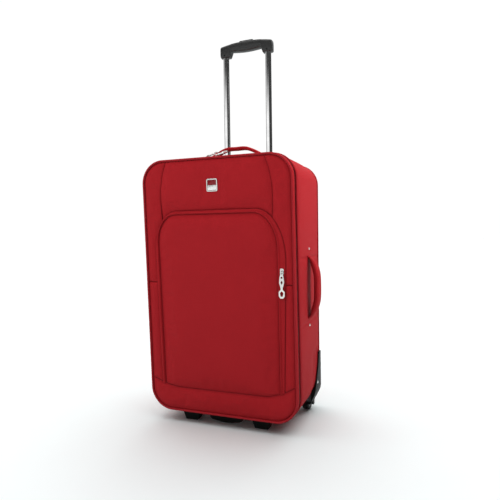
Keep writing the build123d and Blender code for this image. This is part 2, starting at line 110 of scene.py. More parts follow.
# ---- material nodes --------------------------------------------------------------------------------
class Graph:
    """Short calls for building one material's nodes."""

    def __init__(self, name):
        self.material = bpy.data.materials.new(name)
        self.material.use_nodes = True
        self.tree = self.material.node_tree
        self.tree.nodes.clear()
        self.shader = self.node("ShaderNodeBsdfPrincipled")
        out = self.node("ShaderNodeOutputMaterial")
        self.tree.links.new(self.shader.outputs[0], out.inputs[0])

    def node(self, kind, **values):
        made = self.tree.nodes.new(kind)
        for key, value in values.items():
            setattr(made, key, value)
        return made

    def put(self, socket, value):
        if isinstance(value, bpy.types.NodeSocket):
            self.tree.links.new(value, socket)
        else:
            socket.default_value = value

    def math(self, operation, a, b=0.0, clamp=False):
        made = self.node("ShaderNodeMath", operation=operation, use_clamp=clamp)
        self.put(made.inputs[0], a)
        self.put(made.inputs[1], b)
        return made.outputs[0]

    def times(self, a, b, clamp=False):
        return self.math("MULTIPLY", a, b, clamp)

    def plus(self, a, b):
        return self.math("ADD", a, b)

    def wave(self, value, length):
        """A sine along value that repeats each length mm."""
        return self.math("SINE", self.times(value, 2 * math.pi / (length / 1000)))

    def noise(self, vector, scale, detail=2.0, rough=0.5):
        made = self.node("ShaderNodeTexNoise")
        self.put(made.inputs["Vector"], vector)
        made.inputs["Scale"].default_value = scale
        made.inputs["Detail"].default_value = detail
        made.inputs["Roughness"].default_value = rough
        return made.outputs["Fac"]

    def stretch(self, vector, x, y, z):
        made = self.node("ShaderNodeMapping")
        self.put(made.inputs["Vector"], vector)
        made.inputs["Scale"].default_value = (x, y, z)
        return made.outputs[0]

    def ramp(self, value, low, high, to_low=0.0, to_high=1.0):
        made = self.node("ShaderNodeMapRange")
        for socket, v in zip(made.inputs[:5], (value, low, high, to_low, to_high)):
            self.put(socket, v)
        return made.outputs[0]

    def mix(self, share, a, b, blend="MIX"):
        made = self.node("ShaderNodeMix", data_type="RGBA", blend_type=blend)
        self.put(made.inputs["Factor"], share)
        self.put(made.inputs["A"], a)
        self.put(made.inputs["B"], b)
        return made.outputs["Result"]

    def bump(self, height, distance, strength=1.0, normal=None):
        made = self.node("ShaderNodeBump")
        made.inputs["Strength"].default_value = strength
        made.inputs["Distance"].default_value = distance
        self.put(made.inputs["Height"], height)
        if normal is not None:
            self.put(made.inputs["Normal"], normal)
        return made.outputs[0]

    def finish(self, **sockets):
        for key, value in sockets.items():
            self.put(self.shader.inputs[key.replace("_", " ")], value)
        return self.material


def shade(colour, k):
    """The colour k times as light."""
    return (*(min(c * k, 1) for c in colour), 1)


def woven(name, colour, pitch=0.9, depth=0.16, sheen=0.12, mottle=0.03, rib=0.0, motif=0.0):
    """Woven yarn: an over-and-under weave at a pitch in mm, with painted shade in the dips of the weave,
    uneven yarns, slow colour drift and a soft sheen.
    rib and motif are the repeats of a raised rib and of a printed spot, in mm."""
    g = Graph(name)
    where = g.node("ShaderNodeTexCoord").outputs["UV"]
    parts = g.node("ShaderNodeSeparateXYZ")
    g.put(parts.inputs[0], where)
    u, v = parts.outputs[0], parts.outputs[1]
    weave = g.times(g.wave(u, pitch), g.wave(v, pitch))
    fibre = g.noise(where, 2600, 3.0, 0.6)
    yarn_u = g.noise(g.stretch(where, 900, 25, 25), 1.0, 1.0)
    yarn_v = g.noise(g.stretch(where, 25, 900, 25), 1.0, 1.0)
    slow = g.noise(where, 9.0, 3.0)
    height = g.plus(g.times(weave, 0.5), g.times(fibre, 0.6))
    if rib:
        height = g.plus(height, g.times(g.wave(u, rib), 0.8))
    # painted shade: the colour is darker in the dips of the weave; the yarns and the slow drift add their own
    # uneven tone
    weave_shade_and_yarn_tone = g.plus(g.ramp(weave, -1, 1, 0.84, 1.06), g.times(g.plus(yarn_u, yarn_v), 0.16))
    weave_shade_and_yarn_tone = g.plus(weave_shade_and_yarn_tone, g.ramp(slow, 0.25, 0.75, -mottle - 0.16, mottle - 0.16))
    tone = g.mix(g.times(weave_shade_and_yarn_tone, 0.5, clamp=True), shade(colour, 0.0), shade(colour, 2.0))
    if motif:
        spots = g.math("ABSOLUTE", g.times(g.wave(u, motif), g.wave(v, motif)))
        tone = g.mix(g.ramp(spots, 0.80, 0.86), tone, shade(colour, 2.4))
    rough = g.ramp(fibre, 0.3, 0.7, 0.74, 0.92)
    normal = g.bump(g.ramp(slow, 0.2, 0.8), 0.0012, 0.25)
    normal = g.bump(height, depth / 1000, 0.7, normal)
    return g.finish(Base_Color=tone, Roughness=rough, Normal=normal, Specular_IOR_Level=0.16,
                    Sheen_Weight=sheen, Sheen_Roughness=0.35, Sheen_Tint=shade(colour, 1.0))


def moulded(name, colour, rough=0.42, grain=0.05, specular=0.3, scuff=0.3):
    """Moulded plastic with a fine spark-eroded grain, uneven gloss and light scuffs."""
    g = Graph(name)
    where = g.node("ShaderNodeTexCoord").outputs["Object"]
    fine = g.noise(where, 1500, 2.0, 0.6)
    patches = g.noise(where, 28, 4.0)
    scratches = g.noise(g.stretch(where, 60, 60, 700), 1.0, 4.0, 0.7)
    worn = g.times(g.ramp(scratches, 0.60, 0.74), g.ramp(patches, 0.5, 0.72))
    worn = g.times(worn, scuff)
    tone = g.mix(patches, shade(colour, 0.75), shade(colour, 1.25))
    tone = g.mix(worn, tone, shade(colour, 2.6))
    gloss = g.plus(g.ramp(patches, 0.3, 0.7, rough - 0.06, rough + 0.08), g.times(worn, 0.25))
    return g.finish(Base_Color=tone, Roughness=gloss, Normal=g.bump(fine, grain / 1000, 0.5),
                    Specular_IOR_Level=specular)


def metal(name, colour, rough=0.16, brushed=0.0):
    """Plated or drawn metal with faint rub marks and smudges."""
    g = Graph(name)
    where = g.node("ShaderNodeTexCoord").outputs["Object"]
    smudge = g.noise(where, 45, 4.0)
    lines = g.noise(g.stretch(where, 1200, 1200, 12), 1.0, 2.0)
    tone = g.mix(g.ramp(smudge, 0.35, 0.75), shade(colour, 1.0), shade(colour, 0.82))
    gloss = g.ramp(smudge, 0.3, 0.7, rough * 0.8, rough * 1.5)
    height = g.plus(g.times(lines, brushed), g.times(smudge, 0.08))
    return g.finish(Base_Color=tone, Roughness=gloss, Metallic=1.0, Normal=g.bump(height, 0.00004, 0.5))


RED = (0.298, 0.0080, 0.0120)
fabric = woven("red_woven", RED)
fabric_side = woven("red_woven_side", RED, sheen=0.07)
piping_cloth = woven("piping_cloth", (0.27, 0.010, 0.015), pitch=0.6, depth=0.08, sheen=0.25, mottle=0.02)
tape_cloth = woven("zip_tape_cloth", (0.14, 0.0045, 0.0065), pitch=0.8, depth=0.12, sheen=0.05, rib=1.8)
lining_cloth = woven("lining_cloth", (0.045, 0.046, 0.05), pitch=0.5, depth=0.05, sheen=0.2, mottle=0.06,
                     motif=24.0)
webbing = woven("webbing", (0.02, 0.02, 0.022), pitch=1.6, depth=0.3, sheen=0.1, rib=2.4)
# painted shade: a dark cloth laid in the seams to stand for the shade in them
seam_shade_cloth = woven("seam_shade_cloth", (0.14, 0.004, 0.006), pitch=0.6, depth=0.08, sheen=0.0)
thread = woven("thread", (0.21, 0.007, 0.010), pitch=0.5, depth=0.1, sheen=0.05)
coil = moulded("zip_coil", (0.11, 0.0035, 0.005), rough=0.38, specular=0.25, scuff=0.1)
plastic = moulded("black_plastic", (0.0045, 0.0052, 0.0048), rough=0.50, specular=0.08, scuff=0.15)
grip_plastic = moulded("grip_plastic", (0.012, 0.012, 0.012), rough=0.40, grain=0.07, specular=0.45)
rubber = moulded("tyre_rubber", (0.008, 0.008, 0.008), rough=0.62, grain=0.08, specular=0.2, scuff=0.5)
hub_plastic = moulded("hub_plastic", (0.02, 0.02, 0.02), rough=0.32, specular=0.35)
tube_metal = metal("tube_metal", (0.93, 0.93, 0.93), rough=0.07)
black_steel = metal("black_steel", (0.02, 0.02, 0.021), rough=0.35)
enamel = moulded("badge_enamel", (0.16, 0.006, 0.009), rough=0.22, grain=0.01, scuff=0.1)
satin_plate = metal("badge_satin", (0.93, 0.92, 0.91), rough=0.34)
bright = metal("bright_metal", (0.74, 0.73, 0.71), rough=0.2)
steel = metal("plain_steel", (0.5, 0.5, 0.5), rough=0.28, brushed=0.6)


# ---- mesh helpers ----------------------------------------------------------------------------------
def turn_faces(mesh, facing):
    """Makes the faces agree. A closed mesh faces outward, and an open one along facing, if that is given."""
    bm = bmesh.new()
    bm.from_mesh(mesh)
    if facing is not None or all(len(edge.link_faces) == 2 for edge in bm.edges):
        bmesh.ops.recalc_face_normals(bm, faces=bm.faces)
    if facing is not None:
        total = sum((face.normal * face.calc_area() for face in bm.faces), Vector())
        if total.dot(Vector(facing)) < 0:
            bmesh.ops.reverse_faces(bm, faces=bm.faces)
    bm.to_mesh(mesh)
    bm.free()


def add_object(name, data):
    made = bpy.data.objects.new(name, data)
    bpy.context.scene.collection.objects.link(made)
    return made


def piece(name, verts, faces, material, body, uvs, slot, stands_for=(), smooth=True, facing=None):
    """A new mesh piece that rides on a body. uvs are in metres, one for each vertex."""
    mesh = bpy.data.meshes.new(name)
    faces = [tuple(int(i) for i in face) for face in faces]
    mesh.from_pydata(np.asarray(verts, float).reshape(-1, 3).tolist(), [], faces)
    uvs = np.asarray(uvs, np.float32).reshape(-1, 2)
    corner = np.zeros(len(mesh.loops), np.int32)
    mesh.loops.foreach_get("vertex_index", corner)
    mesh.uv_layers.new(name="UVMap").data.foreach_set("uv", uvs[corner].ravel())
    mesh.polygons.foreach_set("use_smooth", [smooth] * len(mesh.polygons))
    mesh.materials.append(material)
    turn_faces(mesh, facing)
    made = add_object(name, mesh)
    if body:
        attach(made, body)
    if stands_for:
        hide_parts(*stands_for)
    return made


def grid_faces(rows, columns, wrap_rows=False, wrap_columns=False):
    """Faces between the points of a grid that is numbered row by row."""
    faces = []
    for i in range(rows if wrap_rows else rows - 1):
        this, after = i * columns, (i + 1) % rows * columns
        for j in range(columns if wrap_columns else columns - 1):
            k = (j + 1) % columns
            faces.append((this + j, this + k, after + k, after + j))
    return faces


def tube_faces(rows, sides):
    """Faces of a closed tube with an end cap at both ends."""
    caps = [tuple(range(sides))[::-1], tuple(range((rows - 1) * sides, rows * sides))]
    return grid_faces(rows, sides, False, True) + caps


def run_along(points):
    """Distance run along a polyline, for each of its points."""
    return np.concatenate([[0], np.cumsum(np.linalg.norm(np.diff(points, axis=0), axis=1))])


def unit(vectors):
    return vectors / np.maximum(np.linalg.norm(vectors, axis=1), 1e-9)[:, None]


def right_of(line):
    """Unit vectors that point to the right of an open line."""
    d = unit(np.gradient(line, axis=0))
    return np.stack([d[:, 1], -d[:, 0]], 1)


def flat_uv(u, v):
    """UV coordinates in metres for a grid, from distances in mm."""
    return np.stack(np.broadcast_arrays(u, v), -1) / 1000


def stand_out(points, normals, out):
    """Outline points moved along their normals, by the columns of out."""
    return [points[:, i][:, None] + normals[:, i][:, None] * out for i in (0, 1)]


def ripple(u, v, seed, size, waves=7):
    """Gentle unevenness of cloth, about -1 to 1, with waves about size mm long."""
    rng = np.random.default_rng(seed)
    total = np.zeros(np.broadcast(u, v).shape)
    for _ in range(waves):
        angle, phase, k = rng.uniform(0, 6.283), rng.uniform(0, 6.283), rng.uniform(0.6, 1.7) / size * 6.283
        total = total + np.cos((u * math.cos(angle) + v * math.sin(angle)) * k + phase)
    return total / waves * 1.6


def outline(inset, height=FRONT_H, base=0.0, step=6.0):
    """The rounded front view from the bottom middle: points (across, up), outward normals, distance run."""
    half, r = HALF_W - inset, CORNER_R - inset
    low, high = base + inset, base + height - inset
    points, normals = [], []

    def run(a, b, normal):
        count = max(2, int(math.dist(a, b) / step))
        for i in range(count):
            k = i / count
            points.append((a[0] + (b[0] - a[0]) * k, a[1] + (b[1] - a[1]) * k))
            normals.append(normal)

    def corner(cx, cy, start):
        count = max(10, int(r * math.pi / 2 / step))
        for i in range(count):
            angle = start + math.pi / 2 * i / count
            points.append((cx + r * math.cos(angle), cy + r * math.sin(angle)))
            normals.append((math.cos(angle), math.sin(angle)))

    run((0, low), (half - r, low), (0, -1))
    corner(half - r, low + r, -math.pi / 2)
    run((half, low + r), (half, high - r), (1, 0))
    corner(half - r, high - r, 0)
    run((half - r, high), (-half + r, high), (0, 1))
    corner(-half + r, high - r, math.pi / 2)
    run((-half, high - r), (-half, low + r), (-1, 0))
    corner(-half + r, low + r, math.pi)
    run((-half + r, low), (0, low), (0, -1))
    points, normals = np.array(points), np.array(normals)
    gaps = np.linalg.norm(np.roll(points, -1, 0) - points, axis=1)
    return points, normals, np.concatenate([[0], np.cumsum(gaps)[:-1]])


def ring(name, material, body, inset, profile, height=FRONT_H, base=0.0, upright=False, closed=False,
         wobble=0.0, seed=1, step=6.0, **how):
    """A strip or cord that runs round the case. profile lists (outward, depth) points, for the leaning front
    or, if upright, for the case's own depth."""
    points, normals, run = outline(inset, height, base, step)
    profile = np.asarray(profile, float)
    out, depth = profile.T[:, None, :]
    if wobble:
        out = out + wobble * ripple(run[:, None], depth, seed, 70)
    x, t = stand_out(points, normals, out)
    verts = (place if upright else front)(x, depth, t)
    uv = flat_uv(run[:, None], run_along(profile)[None, :])
    return piece(name, verts, grid_faces(len(points), len(profile), True, closed), material, body, uv, **how)


def piping(name, body, inset, profile, node, material=piping_cloth, slot="piping", step=5.0, **how):
    """A ring of cord covered with cloth."""
    made = ring(name, material, body, inset, profile, closed=True, step=step, stands_for=(node,), slot=slot,
                **how)


def round_profile(out, depth, r, sides=12):
    angles = np.arange(sides) * 2 * math.pi / sides
    return [(out + r * math.cos(a), depth - r * math.sin(a)) for a in angles]


def distance_to(points, loop):
    """Distance of each point to a closed polyline."""
    best = np.full(len(points), 1e9)
    for p, q in zip(loop, np.roll(loop, -1, 0)):
        d = q - p
        k = np.clip(((points - p) @ d) / max(d @ d, 1e-9), 0, 1)
        best = np.minimum(best, np.linalg.norm(points - p - k[:, None] * d, axis=1))
    return best


def inside(points, loop):
    """Which points lie inside a closed polyline."""
    x, y = points[:, 0], points[:, 1]
    hit = np.zeros(len(points), bool)
    for (x0, y0), (x1, y1) in zip(loop, np.roll(loop, -1, 0)):
        cross = (y0 > y) != (y1 > y)
        with np.errstate(divide="ignore", invalid="ignore"):
            hit ^= cross & (x < (x1 - x0) * (y - y0) / (y1 - y0) + x0)
    return hit


def even(points, step, closed=True):
    """A polyline with its points spread evenly."""
    p = np.asarray(points, float)
    p = np.vstack([p, p[:1]]) if closed else p
    run = run_along(p)
    count = max(3, int(run[-1] / step))
    at = np.linspace(0, run[-1], count, endpoint=not closed)
    return np.stack([np.interp(at, run, p[:, i]) for i in range(p.shape[1])], 1)


def inward(loop):
    """Unit vectors pointing into a closed polyline."""
    d = unit(np.roll(loop, -1, 0) - np.roll(loop, 1, 0))
    normal = np.stack([-d[:, 1], d[:, 0]], 1)
    x, y = loop[:, 0], loop[:, 1]
    area = 0.5 * np.sum(x * np.roll(y, -1) - np.roll(x, -1) * y)
    return normal if area > 0 else -normal


def on_front(flat, up):
    """Points standing up from the leaning front."""
    return front(flat[:, 0], -up, flat[:, 1])


def on_back(flat, up):
    """Points standing up from the back."""
    return place(flat[:, 0], DEPTH - 2.2 + up, flat[:, 1])


def sewn_panel(name, loop, lift, stands_for, material=fabric, body="lid", to_world=on_front, step=6.0,
               sink=3.0, blown=1.2, held=None, facing=(0, -1, 0), slot="red_fabric"):
    """A padded panel sewn round its edge. lift(points, distance to the seam) gives how far each point stands
    out, and the seam allowance turns down by sink. The cloth is blown up by at most blown mm, apart from its
    seam and what is held."""
    loop = even(loop, step * 0.8)
    low, high = loop.min(0), loop.max(0)
    xs, ys = (np.arange(low[i], high[i], step) for i in (0, 1))
    field = np.stack(np.meshgrid(xs, ys), -1).reshape(-1, 2)
    field[:, 0] += (np.round((field[:, 1] - low[1]) / step) % 2) * step / 2
    field = field[inside(field, loop)]
    field = field[distance_to(field, loop) > step * 1.15]
    rims = [loop + inward(loop) * step * k * 1.6 for k in (0.10, 0.25, 0.5)]
    points = [Vector(p) for p in np.vstack([loop, *rims, field])]
    n = len(loop)
    edges = [(i, (i + 1) % n) for i in range(n)]
    verts, _, faces, origin, _, _ = delaunay_2d_cdt(points, edges, [tuple(range(n))], 1, 1e-5)
    flat = np.array([tuple(v) for v in verts])
    gap = distance_to(flat, loop)
    up = lift(flat, gap)
    rim = [next((i for i, o in enumerate(origin) if k in o), None) for k in range(n)]
    rim = [i for i in rim if i is not None]
    total, m = len(flat), len(rim)
    flat = np.vstack([flat, flat[rim]])
    up = np.concatenate([up, up[rim] - sink])
    faces = [tuple(f) for f in faces]
    faces += [(rim[i], rim[(i + 1) % m], total + (i + 1) % m, total + i) for i in range(m)]
    made = piece(name, to_world(flat, up), faces, material, body, flat / 1000, slot, stands_for,
                 facing=facing)
    if blown:
        pinned = np.concatenate([gap < 3.0, np.ones(m, bool)])
        pinned[rim] = True
        if held is not None:
            pinned[:total] |= held(flat[:total])
        puff(made, np.nonzero(pinned)[0], most=blown)
    return made


def puff(obj, pinned, most, pressure=3.0, frames=12):
    """Cloth pinned along its seam and blown up from behind by at most so many mm, then kept as a plain
    mesh."""
    group = obj.vertex_groups.new(name="sewn")
    group.add([int(i) for i in pinned], 1.0, "REPLACE")
    cloth = obj.modifiers.new("cloth", "CLOTH")
    settings = cloth.settings
    settings.quality, settings.mass = 5, 0.3
    settings.tension_stiffness = settings.compression_stiffness = settings.shear_stiffness = 20
    settings.bending_stiffness = 4
    settings.use_pressure, settings.uniform_pressure_force = True, pressure
    settings.vertex_group_mass = "sewn"
    settings.shrink_min = -0.006
    settings.effector_weights.gravity = 0
    cloth.collision_settings.use_collision = False
    scene = bpy.context.scene
    for number in range(1, frames + 1):
        scene.frame_set(number)
    shaped = obj.evaluated_get(bpy.context.evaluated_depsgraph_get()).to_mesh()
    count = len(obj.data.vertices)
    rest, moved = np.zeros(count * 3, np.float32), np.zeros(count * 3, np.float32)
    obj.data.vertices.foreach_get("co", rest)
    shaped.vertices.foreach_get("co", moved)
    step = (moved - rest).reshape(-1, 3)
    size = np.linalg.norm(step, axis=1, keepdims=True)
    step = np.where(np.isfinite(size), step * np.minimum(1, most / 1000 / np.maximum(size, 1e-9)), 0)
    obj.modifiers.remove(cloth)
    obj.vertex_groups.remove(group)
    obj.data.vertices.foreach_set("co", (rest.reshape(-1, 3) + step).ravel())
    obj.data.update()
    scene.frame_set(1)


STITCH_FACES = ((0, 1, 4), (1, 5, 4), (1, 2, 5), (2, 3, 5), (3, 4, 5), (3, 0, 4))


def stitches(name, paths, body, pitch=4.2, length=2.9, width=0.75, rise=0.35):
    """Rows of raised stitches. Each path is (points, normals) in metres."""
    verts, faces, uvs = [], [], []
    for points, normals in paths:
        run = run_along(points)

        def at(s, values):
            return np.array([np.interp(s, run, values[:, i]) for i in range(3)])
        for s in np.arange(0.5 * pitch, run[-1] * 1000 - length, pitch) / 1000:
            a, b, n = at(s, points), at(s + length / 1000, points), at(s, normals)
            n = n / np.linalg.norm(n)
            d = (b - a) / max(np.linalg.norm(b - a), 1e-9)
            w, up = np.cross(n, d) * width / 2000, n * rise / 1000
            middle = (a + b) / 2 - up * 0.2
            faces += [tuple(len(verts) + i for i in face) for face in STITCH_FACES]
            verts += [a, middle - w, b, middle + w, a * 0.72 + b * 0.28 + up, a * 0.28 + b * 0.72 + up]
            uvs += [(s, 0)] * 6
    return piece(name, verts, faces, thread, body, uvs, slot="red_fabric")


# ---- outlines on the front, (x, t) -----------------------------------------------------------------
def arc_corner(cx, cy, rx, ry, start, end, count=16):
    angles = np.radians(np.linspace(start, end, count))
    return [(cx + rx * math.cos(a), cy + ry * math.sin(a)) for a in angles]


def base_t(x):
    """Upper edge of the bottom panel, turned up at both ends, a little more at the right."""
    x = np.asarray(x, float)
    k = np.clip((np.abs(x) - 118) / 90, 0, None)
    return 66.5 + np.where(x > 0, 33, 25) * k ** 1.8


def base_line(x, above=0.0):
    return np.stack([x, base_t(x) + above], 1)


def pocket_seam(right, right_foot, left, left_foot, top, rx, ry):
    """Open line from the pocket's lower right corner, up, over and down to its lower left."""
    line = [(right_foot, float(base_t(right_foot))), (right, top - ry)]
    line += arc_corner(right - rx, top - ry, rx, ry, 0, 90)[1:]
    line += arc_corner(-left + rx * 0.85, top - ry * 0.8, rx * 0.85, ry * 0.8, 90, 180)
    line += [(-left_foot, float(base_t(-left_foot)))]
    return even(line, 5.0, closed=False)


POCKET_IN = pocket_seam(165.5, 164, 168, 164.5, 534, 62, 92)      # seam round the padded pocket panel
POCKET_OUT = pocket_seam(187, 176, 178, 174, 543.5, 76, 128)      # outer edge of the zip cover
EDGE = outline(PANEL_INSET, step=4.0)[0]


def seam_x(t):
    """The two curved seams of the upper front bow out towards the pocket."""
    return np.interp(t, [500, 540, 575, 606, 640, 667, 720], [153, 156.2, 157, 155.5, 149, 140, 118])


def upper_seam(side):
    """One of the two seams of the upper front, from the top down to behind the pocket."""
    t = np.linspace(674, 505, 34)
    return np.stack([side * seam_x(t), t], 1)


def cut_at_pocket(line):
    """The part of a line, walked from its start, that lies outside the pocket's zip cover."""
    loop = np.vstack([POCKET_OUT, [[-174, 40], [176, 40]]])
    outside = ~inside(line, loop)
    stop = len(line) if outside.all() else int(np.argmin(outside))
    return line[:stop]


# ---- front of the lid ------------------------------------------------------------------------------
def crown(height, edge, dip=0.0, seed=3, uneven=0.25, size=90.0):
    """Padding that rises from a seam dip mm deep over about edge mm, with a little unevenness."""
    def lift(flat, gap):
        rise = 1 - np.exp(-gap / edge)
        wave = ripple(flat[:, 0], flat[:, 1], seed, size) * uneven * np.clip(gap / 25, 0, 1)
        return -dip + (height + dip) * rise + wave
    return lift


def top_panel(seams):
    """The panel between the two curved seams, lower beside the pocket and flat under the badge."""
    top = EDGE[(EDGE[:, 1] > 600) & (np.abs(EDGE[:, 0]) < 137)]
    top = top[np.argsort(top[:, 0])]
    x, t = POCKET_OUT.T
    arcs = [POCKET_OUT[(t > seams[side][-1][1]) & ((x > 0) == (side > 0))] for side, _ in SIDES]
    loop = np.vstack([top, seams[1], *arcs, seams[-1][::-1]])

    def lift(flat, gap):
        base = crown(3.4, 8.0, 1.3, 5, 0.22)(flat, gap)
        over = np.clip((flat[:, 1] - 543) / 55, 0, 1)
        at_badge = np.exp(-(((flat - BADGE) / 34) ** 4).sum(1))
        return (base - 2.6 * (1 - over) ** 2) * (1 - at_badge) + 2.6 * at_badge
    sewn_panel("front_top", loop, lift, ("front_top_panel",), step=6.5,
               held=lambda flat: np.abs(flat - BADGE).max(1) < 26)


def front_strips(side, name, seam):
    """The two narrow panels beside the pocket, above and below the cross seam."""
    edge_x = side * (HALF_W - PANEL_INSET)
    over, under = CROSS_T + 0.6, CROSS_T - 0.6
    out = POCKET_OUT[POCKET_OUT[:, 0] * side > 0][::side]          # from the foot upwards
    high = out[(out[:, 1] > CROSS_T + 2) & (out[:, 1] < seam[-1][1])]
    low = out[(out[:, 1] < CROSS_T - 2) & (out[:, 1] > base_t(out[:, 0]) + 0.8)]
    rim = EDGE[EDGE[:, 0] * side > 0]
    rim = rim[np.argsort(rim[:, 1] - 0.001 * rim[:, 0] * side)]
    rim_high = rim[(rim[:, 1] > CROSS_T + 2) & (np.abs(rim[:, 0]) > 138)]
    rim_low = rim[(rim[:, 1] < CROSS_T - 2) & (rim[:, 1] > base_t(rim[:, 0]) + 0.8)]
    foot = base_line(np.linspace(low[0][0], rim_low[0][0], 12)[1:-1], 0.9)
    upper = np.vstack([[[edge_x, over]], rim_high, seam, high[::-1], [[high[0][0], over]]])
    lower = np.vstack([rim_low, [[edge_x, under]], [[low[-1][0], under]], low[::-1], foot])
    for part, loop, height, edge, seed, step in (("upper", upper, 2.6, 6.0, 11, 5.5),
                                                 ("lower", lower, 2.5, 5.5, 21, 5.0)):
        sewn_panel(f"front_strip_{part}_{name}_cloth", loop, crown(height, edge, 1.4, seed + side, 0.2),
                   (f"front_strip_{part}_{name}",), step=step)


def lid_front():
    seams = {side: cut_at_pocket(upper_seam(side)) for side, _ in SIDES}
    top_panel(seams)
    for side, name in SIDES:
        front_strips(side, name, seams[side])
    rim = EDGE[EDGE[:, 1] < base_t(EDGE[:, 0]) - 1]
    rim = rim[np.argsort(np.arctan2(rim[:, 1] - 300, rim[:, 0]))]
    base = np.vstack([rim, base_line(np.linspace(202.0, -202.0, 90))])
    sewn_panel("front_base", base, crown(3.6, 8.0, 1.3, 31, 0.22), ("front_bottom_panel",))
    panel = np.vstack([POCKET_IN + [0, 0.8], base_line(np.linspace(-164.5, 164, 60)[1:-1], 0.8)])
    sewn_panel("pocket_cover", panel, crown(6.4, 14.0, 1.6, 41, 0.3, 120.0), ("pocket_panel",), body="pocket",
               step=7.0, sink=2.0)


def match(line, count):
    """An open line as count points, about evenly spread."""
    fine = even(line, 1.0, closed=False)
    return fine[np.linspace(0, len(fine) - 1, count).astype(int)]


def zip_cover():
    """The fabric cover over the pocket's zip: a piped fold beside the panel, then a flat flap that widens at
    the right, with the zip's dark slot at its outer edge. The slot, partly real zip and partly painted shade,
    and the seams of the front are dark strips of painted shade."""
    count = 260
    inner, outer = match(POCKET_IN, count), match(POCKET_OUT, count)
    share = np.array([[-0.03, 0.0, 0.05, 0.12, 0.22, 0.34, 0.42, 0.55, 0.72, 0.88, 0.96, 1.0, 1.03]])
    width = np.linalg.norm(outer - inner, axis=1)[:, None]
    q = np.clip(share, 0, 1)
    ridge = np.minimum(7.0 / width, 0.8)
    fold = np.exp(-((q - ridge * 0.55) / (ridge * 0.40)) ** 2)
    flap = np.clip((q - ridge) / 0.1, 0, 1) * np.clip((1.0 - q) / 0.05, 0, 1)
    up = -1.5 + 6.0 * fold + 3.6 * flap * (1 - 0.25 * q)
    up = up + np.where(share < 0, -3.0, 0) + np.where(share > 1, -2.5, 0)
    flat = inner[:, None, :] + (outer - inner)[:, None, :] * share[:, :, None]
    verts = front(flat[..., 0], -up, flat[..., 1])
    uv = flat_uv(run_along(inner)[:, None], share * width)
    made = piece("pocket_zip_cover", verts, grid_faces(count, share.size), fabric, "lid", uv,
                 stands_for=("pocket_zip_tape",), slot="red_fabric")
    # the zip's dark slot: partly the real dark zip beneath, partly painted shade
    seam_line("pocket_zip_line", outer, 1.5, 0.3)
    # dark strips of painted shade in the seams of the front
    seam_line("pocket_seam_line", inner + inward(np.vstack([inner, [[0, -400]]]))[:-1] * 0.6, 1.3, -0.2)
    for side, name in SIDES:
        seam_line(f"front_seam_line_{name}", cut_at_pocket(upper_seam(side)), 0.85, -0.2)
        x = np.linspace(181, 202, 12) * side
        seam_line(f"front_cross_seam_{name}", np.stack([x, CROSS_T + 0 * x], 1), 0.8, -0.2)
    x = np.linspace(203, -203, 160)
    seam_line("front_base_seam", base_line(x, 0.9), 0.8, -0.2)
    seam_line("front_base_fold", base_line(x, -0.3), 1.0, 0.5, material=piping_cloth)


def seam_line(name, line, width, up, body="lid", to_world=on_front, facing=(0, -1, 0), material=seam_shade_cloth):
    """A dark strip in the bottom of a seam, by default of painted seam shade: it darkens the seam where only
    shade falls.
    """
    edge = np.array([(-0.75, -1.8), (-0.36, 0.0), (0.36, 0.0), (0.75, -1.8)]) * [width, 1]
    flat = line[:, None, :] + right_of(line)[:, None, :] * edge[None, :, :1]
    rise = np.broadcast_to(edge[None, :, 1] + up, flat.shape[:2])
    uv = flat_uv(np.arange(len(line))[:, None] * 2.0, edge[None, :, 0])
    verts = to_world(flat.reshape(-1, 2), rise.ravel())
    piece(name, verts, grid_faces(len(line), len(edge)), material, body, uv, slot="zip_tape", facing=facing)


def rounded_rect(cx, cy, w, h, r, per=7):
    points = []
    for sx, sy, start in ((1, -1, -90), (1, 1, 0), (-1, 1, 90), (-1, -1, 180)):
        points += arc_corner(cx + sx * (w / 2 - r), cy + sy * (h / 2 - r), r, r, start, start + 90, per)
    return np.array(points)


def badge():
    """A bright frame round a dark enamel window, above a plain satin plate."""
    base = 2.2

    def stack(name, size, r, levels, material, node=(), drop=0.0):
        """Rounded rectangles on top of each other. Each level is how much it grows, and how high it lies."""
        loops = [rounded_rect(BADGE[0], BADGE[1] - drop, size[0] + 2 * grow, size[1] + 2 * grow,
                              max(r + grow, 0.6)) for grow, _ in levels]
        verts = np.vstack([on_front(loop, base + up) for loop, (_, up) in zip(loops, levels)])
        n = len(loops[0])
        faces = grid_faces(len(loops), n, False, True)
        if name != "badge_surround":
            faces.append(tuple(range((len(loops) - 1) * n, len(loops) * n)))
        piece(name, verts, faces, material, "lid", np.vstack(loops) / 1000, slot="bright_metal",
              stands_for=node)
    rolled_edge = ((0, -0.8), (0, 1.6), (-0.3, 2.1), (-0.9, 2.4), (-2.6, 2.4), (-3.2, 2.0), (-3.4, 0.4))
    stack("badge_surround", (31, 33), 5, rolled_edge, bright, ("badge_frame",))
    stack("badge_blank", (24.4, 12.6), 2, ((0, 0.2), (0, 1.7), (-0.5, 2.1)), satin_plate,
          ("badge_plate",), drop=6.4)
    stack("badge_window", (24.4, 27), 2, ((0, 0.2), (0, 0.9), (-0.4, 1.2)), enamel)


